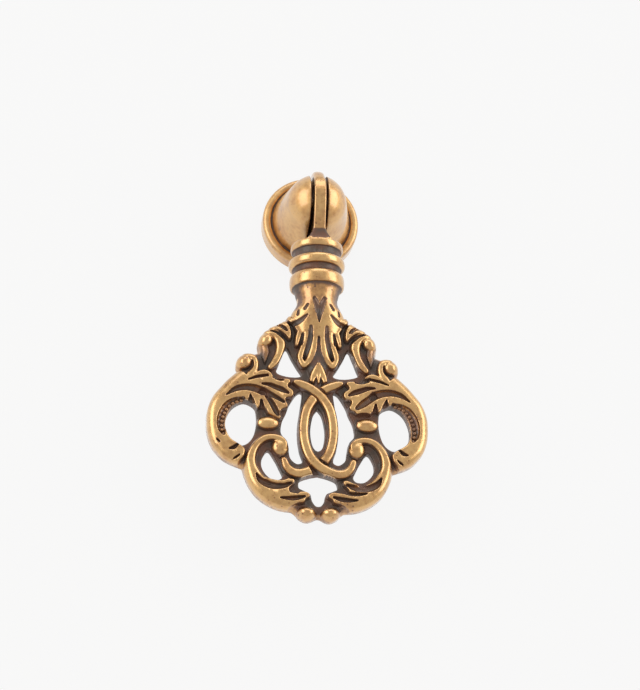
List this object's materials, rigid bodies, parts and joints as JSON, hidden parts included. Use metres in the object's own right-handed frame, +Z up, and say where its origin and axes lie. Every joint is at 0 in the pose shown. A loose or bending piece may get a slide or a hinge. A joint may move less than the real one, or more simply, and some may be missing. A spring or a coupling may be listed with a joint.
{
  "type": "drop pull",
  "caption": "Drop pull for a drawer: a round rose with a slotted, ball-nosed head, and a pendant with an openwork plate of leafy scrolls that swings on a cross pin.",
  "frame": {"origin": "centre of the screw hole in the back of the rose, on the face that lies against the drawer", "axes": "+Z up along the hanging pendant, +Y into the drawer front, +X to the right as seen from the room"},
  "size_m": [0.0356, 0.0147, 0.0627],
  "materials": {
    "rose_brass": "antiqued, rubbed and lacquered",
    "pin_brass": "antiqued",
    "drop_brass": "antiqued, rubbed and lacquered"
  },
  "bodies": {
    "post": {"rose_post": "rose_brass", "hinge_pin": "pin_brass"},
    "drop": {"drop_pendant": "drop_brass"}
  },
  "joints": [
    {"name": "drop_swing", "type": "hinge", "parent": "post", "child": "drop", "pos_m": [0, -0.0095, 0], "axis": [-1, 0, 0], "range_deg": [-8, 180]}
  ]
}
